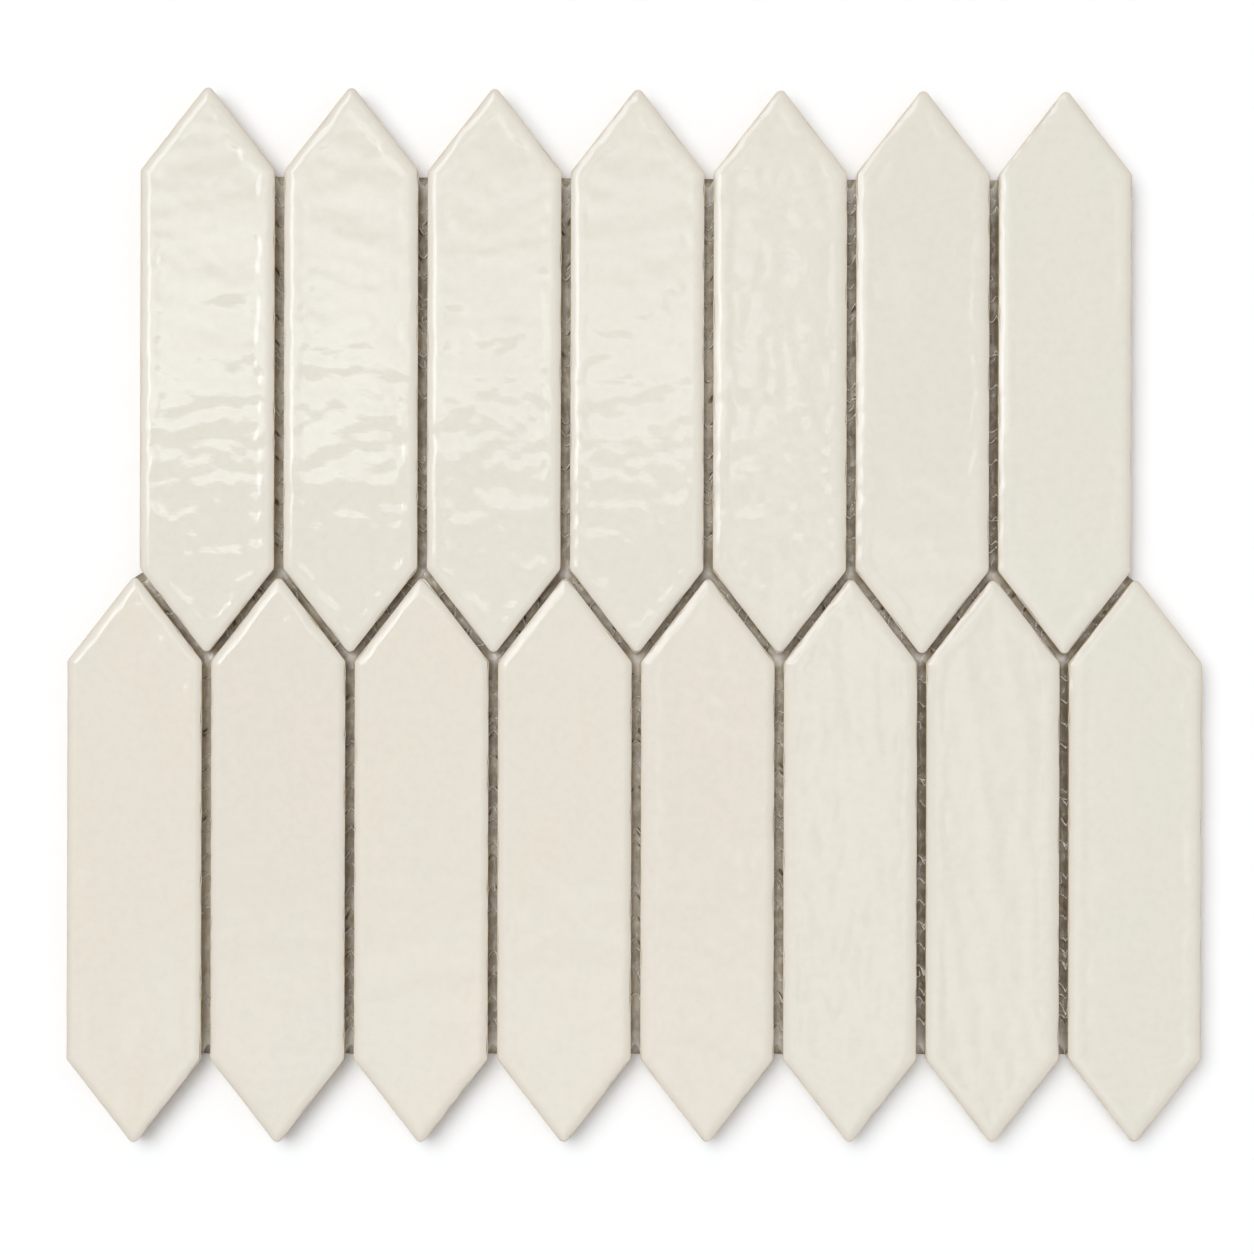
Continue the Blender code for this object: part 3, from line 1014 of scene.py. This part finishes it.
# %% The skin's mesh
ROW_STEP = 0.36 * MM
COLUMNS = np.array([-1.0, -0.93, -0.83, -0.68, -0.48, -0.25, 0.0, 0.25, 0.48, 0.68, 0.83, 0.93, 1.0])
FOOT = BED_TOP - 0.06 * MM
RIDGE = 0.14 * MM
RIDGE_WIDTH = 0.26 * MM
RIDGE_CHANGE = 0.5
PIT_DEPTH = 0.6 * MM
PIT_FLOOR = BED_TOP + 0.05 * MM
PIT_EDGE = 0.02
BRIDGE_REACH = 3 * MM
NOWHERE = 9.0
WELD = 0.01 * MM


def joint_surface(joint, across, way):
    """Places and heights of one joint's skin, with its ridges and pits, and how hollow each place is."""
    shares = np.clip(way / joint.length, 0.0, 1.0)
    flat = joint.places(across, shares)
    to_open_end = way if joint.is_open else np.full_like(way, 1.0)
    height = skin_height(flat[:, 0], flat[:, 1], across, to_open_end)
    hollow = np.zeros_like(height)
    for bridge in bridges[joint.name]:
        near = np.abs(way - bridge.way) < BRIDGE_REACH
        if not near.any():
            continue
        for path in bridge.paths:
            order = np.argsort(path[:, 0])
            line = np.interp(across[near], *path[order].T, left=NOWHERE, right=NOWHERE)
            off = (way[near] - bridge.way - line) / RIDGE_WIDTH
            height[near] += RIDGE * (1 + RIDGE_CHANGE * bridge.rise) * np.exp(-off ** 2)
        for where, along, radius in bridge.pits:
            off_across = (across[near] - where) * HALF_JOINT / radius
            off_along = (way[near] - bridge.way - along) / radius
            hollow[near] += np.exp(-(off_across ** 2 + off_along ** 2))
    height = np.where(hollow > PIT_EDGE, np.maximum(height - PIT_DEPTH * hollow, PIT_FLOOR), height)
    return flat, height, np.clip(hollow, 0.0, 1.0)


def joint_tone(joint):
    """How pale the adhesive is in this joint."""
    row, place = joint.name.split("_")[:2]
    return JOINT_TONES[row][int(place) - 1] if row in JOINT_TONES else SLANT_TONE


def strip_into(model, joint, layers):
    """Adds one joint's strip to the model, and fills its layers: how hollow, how thin and what tone."""
    rows = max(2, math.ceil(joint.length / ROW_STEP)) + 1
    way = np.repeat(np.linspace(0.0, joint.length, rows), len(COLUMNS))
    across = np.tile(COLUMNS, rows)
    flat, height, hollow = joint_surface(joint, across, way)
    top = [model.verts.new((x, y, z)) for (x, y), z in zip(flat.tolist(), height.tolist())]
    # Painted paler towards an open end, where the film thins and light reaches in, and painted sheen where
    # three joints meet.
    thin = np.exp(-way / END_PALING) if joint.is_open else np.zeros_like(way)
    for end in [joint.end] if joint.is_open else [joint.start, joint.end]:
        thin += MEETING_SHEEN * np.exp(-((flat - np.array(end)) ** 2).sum(axis=1) / MEETING_SHEEN_REACH ** 2)
    tone = joint_tone(joint)
    for vertex, depth, paling in zip(top, hollow.tolist(), thin.tolist()):
        for layer, value in zip(layers, (depth, paling, tone)):
            vertex[layer] = value
    grid = [top[row * len(COLUMNS):(row + 1) * len(COLUMNS)] for row in range(rows)]
    feet = [[model.verts.new((edge.co.x, edge.co.y, FOOT)) for edge in (line[0], line[-1])] for line in grid]
    for row in range(rows - 1):
        here, there = grid[row], grid[row + 1]
        for column in range(len(COLUMNS) - 1):
            model.faces.new((here[column], here[column + 1], there[column + 1], there[column]))
        model.faces.new((here[0], there[0], feet[row + 1][0], feet[row][0]))
        model.faces.new((here[-1], there[-1], feet[row + 1][1], feet[row][1]))
        if row or not joint.is_open:
            model.faces.new((feet[row][0], feet[row][1], feet[row + 1][1], feet[row + 1][0]))
    if joint.is_open:
        for foot in feet[0]:
            foot.co.z = LIP
        lip = [feet[0][0]] + [model.verts.new((v.co.x, v.co.y, LIP)) for v in grid[0][1:-1]] + [feet[0][1]]
        for column in range(len(COLUMNS) - 1):
            model.faces.new((grid[0][column], grid[0][column + 1], lip[column + 1], lip[column]))
        model.faces.new(lip + [feet[1][1], feet[1][0]])
    return [feet[-1]] + ([] if joint.is_open else [feet[0]])


def close_meetings(model, ends):
    """One triangle under each place where three strips meet."""
    left = {}
    for pair in ends:
        middle = (pair[0].co + pair[1].co) / 2
        key = (round(middle.x / PICKET_WIDTH * 2), middle.y > 0)
        left.setdefault(key, []).append(pair)
    for pairs in left.values():
        corners = []
        for vertex in [vertex for pair in pairs for vertex in pair]:
            if all((vertex.co - other.co).length > WELD for other in corners):
                corners.append(vertex)
        if len(corners) == 3:
            model.faces.new(corners)
    return len(left)


def skin_mesh():
    """All the joints' skin as one closed mesh."""
    model = bmesh.new()
    for name in ("hollow", "thin", "tone"):
        model.verts.layers.float.new(name)
    layers = [model.verts.layers.float[name] for name in ("hollow", "thin", "tone")]
    ends = []
    for joint in joints:
        ends += strip_into(model, joint, layers)
    meetings = close_meetings(model, ends)
    bmesh.ops.remove_doubles(model, verts=model.verts[:], dist=WELD)
    bmesh.ops.recalc_face_normals(model, faces=model.faces[:])
    open_edges = sum(1 for edge in model.edges if len(edge.link_faces) != 2)
    print("Skin:", len(model.faces), "faces,", meetings, "meetings,", open_edges, "edges left open")
    mesh = bpy.data.meshes.new("joint_skin")
    model.to_mesh(mesh)
    model.free()
    mesh.shade_smooth()
    return mesh


print("Points across a strip:", len(COLUMNS), "and a row every", round(ROW_STEP / MM, 2), "mm")

# %% [markdown]
# The set adhesive is a tan latex with a soft shine, and the strands are glass whitened by a thin coat of
# it. Its colour also holds painted light: paler towards an open end, where it thins and light reaches in
# from the open side, paler where it has pooled at a meeting, as painted sheen, and dark in its pits, as
# painted shade. An image could be wrapped over it, but it wouldn't know where the pits are. So the mesh
# carries three values for each point, how hollow, how thin and what tone, and they steer a mix of plain
# colours.

# %% Adhesive and glass
# The pale colour of the thin film at an open end. It also paints the light that reaches in there and the
# sheen at the meetings.
THIN_AND_LIT_FILM = (0.95, 0.93, 0.88, 1.0)
# The darker colour of the clouds, the paler one, and the painted shade in a pit, of each kind of adhesive.
TAN = ((0.30, 0.255, 0.19), (0.68, 0.62, 0.51), (0.24, 0.18, 0.12))
WHITENED = ((0.84, 0.82, 0.77), (0.93, 0.92, 0.89), (0.3, 0.27, 0.22))
CLOUD_SCALE = 260.0
GRIT_SCALE = 1500.0
GRIT_DEPTH = 0.05 * MM
GRIT_STRENGTH = 0.5


def adhesive_material(name, colours, roughness):
    """Cured adhesive: two tans in soft clouds, painted shade in its pits, and painted light and sheen where
    it runs thin and where joints meet.
    """
    dark, pale, pit = ((*colour, 1.0) for colour in colours)
    material, tree, shader = new_material(name)
    shader.inputs["Roughness"].default_value = roughness
    place = tree.nodes.new("ShaderNodeNewGeometry").outputs["Position"]
    clouds = ramp_between(tree, noise(tree, place, CLOUD_SCALE, 3.0, 0.6), 0.35, 0.65, 0.0, 0.6)
    share = math_node(tree, "ADD", clouds, attribute(tree, "tone"))
    colour = mix_colours(tree, share, dark, pale)
    # Painted paler at open ends and meetings: the thin film there, with painted light and sheen on it.
    colour = mix_colours(tree, attribute(tree, "thin"), colour, THIN_AND_LIT_FILM)
    # Painted shade in the pits: the deeper the hollow, the darker the colour.
    painted_pit_shade = ramp_between(tree, attribute(tree, "hollow"), 0.1, 0.8)
    colour = mix_colours(tree, painted_pit_shade, colour, pit)
    tree.links.new(colour, shader.inputs["Base Color"])
    add_bump(tree, shader, noise(tree, place, GRIT_SCALE, 3.0), GRIT_DEPTH, GRIT_STRENGTH)
    return material


def place_piece(name, mesh, material):
    """Puts a finished mesh of adhesive or glass into the scene, on the sheet's one body."""
    mesh.materials.append(material)
    piece = add_object(name, mesh)
    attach(piece, "root")
    return piece


tan_skin = adhesive_material("tan_adhesive", TAN, 0.16)
glass = adhesive_material("coated_glass", WHITENED, 0.25)
place_piece("joint_skin", skin_mesh(), tan_skin)

# %% [markdown]
# A strand is a bundle of fine glass, about 0.4 mm thick, and it stands half out of the skin. Curves
# with a round bevel could draw them, but there are hundreds, and each would still have to follow the
# skin. So each path is smoothed, lifted to the skin's height below it, and wrapped in a tube with
# closed ends, and all the tubes are one mesh.

# %% The bridges
SIDES = 6
STRAND_POINTS = 14
STRAND_END = 0.985
STRAND_LIFT = 0.6
LIFT_CHANGE = 0.5
STRAND_SWELL = 0.35
STRAND_THICKNESSES = (0.8, 1.25)


def tube_into(points, faces, path, radii):
    """Adds a closed tube along a path to lists of points and faces."""
    path = np.asarray(path)
    ahead = np.gradient(path, axis=0)
    ahead /= np.linalg.norm(ahead, axis=1)[:, None]
    aside = np.cross(ahead, (0.0, 0.0, 1.0))
    aside /= np.maximum(np.linalg.norm(aside, axis=1), 1e-9)[:, None]
    above = np.cross(aside, ahead)
    start = len(points)
    turns = 2 * math.pi * np.arange(SIDES) / SIDES
    for place in range(len(path)):
        ring = np.outer(np.cos(turns), aside[place]) + np.outer(np.sin(turns), above[place])
        points += (path[place] + ring * radii[place]).tolist()
    for place in range(len(path) - 1):
        low = start + place * SIDES
        for side in range(SIDES):
            after = (side + 1) % SIDES
            faces.append((low + side, low + after, low + SIDES + after, low + SIDES + side))
    faces.append(tuple(start + side for side in reversed(range(SIDES))))
    faces.append(tuple(start + (len(path) - 1) * SIDES + side for side in range(SIDES)))


def tube_mesh(name, points, faces):
    """A smooth mesh of the tubes in lists of points and faces."""
    mesh = bpy.data.meshes.new(name)
    mesh.from_pydata(points, [], faces)
    mesh.update()
    mesh.shade_smooth()
    print(name, "has", len(faces), "faces")
    return mesh


def smooth_path(path, count):
    """More points on a smooth curve through the path's own."""
    shares = np.linspace(0.0, len(path) - 1.0, count)
    padded = np.concatenate([[2 * path[0] - path[1]], path, [2 * path[-1] - path[-2]]])
    base = np.minimum(shares.astype(int), len(path) - 2)
    part = (shares - base)[:, None]
    p0, p1, p2, p3 = (padded[base + step] for step in range(4))
    return 0.5 * (2 * p1 + (p2 - p0) * part + (2 * p0 - 5 * p1 + 4 * p2 - p3) * part ** 2
                  + (3 * p1 - p0 - 3 * p2 + p3) * part ** 3)


def bridge_mesh():
    """Every strand that crosses a joint, as tubes half sunk in the skin."""
    points, faces = [], []
    rng = np.random.default_rng(77)
    for joint in joints:
        for bridge in bridges[joint.name]:
            for path in bridge.paths:
                fine = smooth_path(path, STRAND_POINTS)
                across = np.clip(fine[:, 0], -STRAND_END, STRAND_END)
                flat, height, _ = joint_surface(joint, across, bridge.way + fine[:, 1])
                swell = np.sin(rng.uniform(0, 6.3) + np.arange(STRAND_POINTS) * 0.9)
                radii = STRAND_RADIUS * (1 + STRAND_SWELL * swell)
                radii *= rng.uniform(*STRAND_THICKNESSES)
                lift = height + radii * (STRAND_LIFT + LIFT_CHANGE * bridge.rise)
                tube_into(points, faces, np.column_stack([flat, lift]), radii)
    return tube_mesh("strand_bridges", points, faces)


place_piece("strand_bridges", bridge_mesh(), glass)

# %% [markdown]
# The bed is the backing itself, the sheet of adhesive that the mesh is set in. Its outline could be
# worked out again from the pickets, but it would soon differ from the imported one. So it is read from
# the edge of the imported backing's top face.

# %% The bed
BED_BOTTOM = 0.2 * MM


def backing_loop():
    """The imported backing's outline, as one ordered ring of places."""
    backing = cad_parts["mesh_backing"]
    model = bmesh.new()
    model.from_mesh(backing.data)
    bmesh.ops.remove_doubles(model, verts=model.verts[:], dist=WELD)
    model.normal_update()
    top = {face for face in model.faces if face.normal.z > 0.9}
    border = [edge for edge in model.edges if sum(face in top for face in edge.link_faces) == 1]
    linked = {}
    for edge in border:
        for vertex in edge.verts:
            linked.setdefault(vertex, []).append(edge.other_vert(vertex))
    first = border[0].verts[0]
    ring, last, here = [first], None, first
    while True:
        following = [vertex for vertex in linked[here] if vertex is not last]
        last, here = here, following[0]
        if here is first:
            break
        ring.append(here)
    places = [Vector((vertex.co.x, vertex.co.y)) for vertex in ring]
    model.free()
    return places


def bed_mesh(outline):
    """The outline as a thin closed sheet."""
    count = len(outline)
    turning = sum(here.cross(after) for here, after in zip(outline, outline[1:] + outline[:1]))
    ring = outline if turning > 0 else outline[::-1]
    points = [(place.x, place.y, height) for height in (BED_BOTTOM, BED_TOP) for place in ring]
    triangles = tessellate_polygon([[(place.x, place.y, 0.0) for place in ring]])
    faces = []
    for triangle in triangles:
        a, b, c = (ring[corner] for corner in triangle)
        upward = triangle if (b - a).cross(c - a) > 0 else triangle[::-1]
        faces.append([count + corner for corner in upward])
        faces.append(list(reversed(upward)))
    for here in range(count):
        after = (here + 1) % count
        faces.append((here, after, count + after, count + here))
    mesh = bpy.data.meshes.new("adhesive_bed")
    mesh.from_pydata(points, [], faces)
    mesh.update()
    return mesh


outline = backing_loop()
adhesive_bed = place_piece("adhesive_bed", bed_mesh(outline), tan_skin)
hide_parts("mesh_backing")
print("The bed's outline has", len(outline), "points")

# %% [markdown]
# The mesh proper is woven glass: strands both ways at the same pitch, passing over and under each
# other, pressed half into the underside of the bed. An Array modifier could repeat one strand, but
# each has to end where the outline does, so every strand is cut at its crossings with the outline.

# %% The woven mesh
WEAVE_LIFT = 0.05 * MM
WEAVE_RADIUS = 0.14 * MM
WEAVE_STEP = MESH_PITCH / 4
WEAVE_SHIFT = 0.37
WEAVE_MARGIN = 0.2 * MM


def spans(outline, axis, level):
    """The stretches of a straight line, along the other axis, that lie inside the outline."""
    cuts = []
    for a, b in zip(outline, outline[1:] + outline[:1]):
        if (a[axis] > level) != (b[axis] > level):
            share = (level - a[axis]) / (b[axis] - a[axis])
            cuts.append(a[1 - axis] + (b[1 - axis] - a[1 - axis]) * share)
    cuts.sort()
    return list(zip(cuts[::2], cuts[1::2]))


def weave_mesh(outline):
    """Strands both ways inside the outline, each rising and sinking at every crossing."""
    points, faces = [], []
    middle = WEAVE_RADIUS + WEAVE_LIFT
    for axis in (0, 1):
        low, high = min(place[axis] for place in outline), max(place[axis] for place in outline)
        for strand in range(math.ceil(low / MESH_PITCH), math.floor(high / MESH_PITCH) + 1):
            level = (strand + WEAVE_SHIFT) * MESH_PITCH
            for start, end in spans(outline, axis, level):
                if end - start < MESH_PITCH:
                    continue
                along = np.arange(start + WEAVE_MARGIN, end - WEAVE_MARGIN, WEAVE_STEP)
                phase = math.pi * (along / MESH_PITCH - WEAVE_SHIFT + strand + axis)
                path = np.zeros((len(along), 3))
                path[:, axis] = level
                path[:, 1 - axis] = along
                path[:, 2] = middle + WEAVE_LIFT * np.cos(phase)
                tube_into(points, faces, path, np.full(len(along), WEAVE_RADIUS))
    return tube_mesh("glass_mesh", points, faces)


place_piece("glass_mesh", weave_mesh(outline), glass)
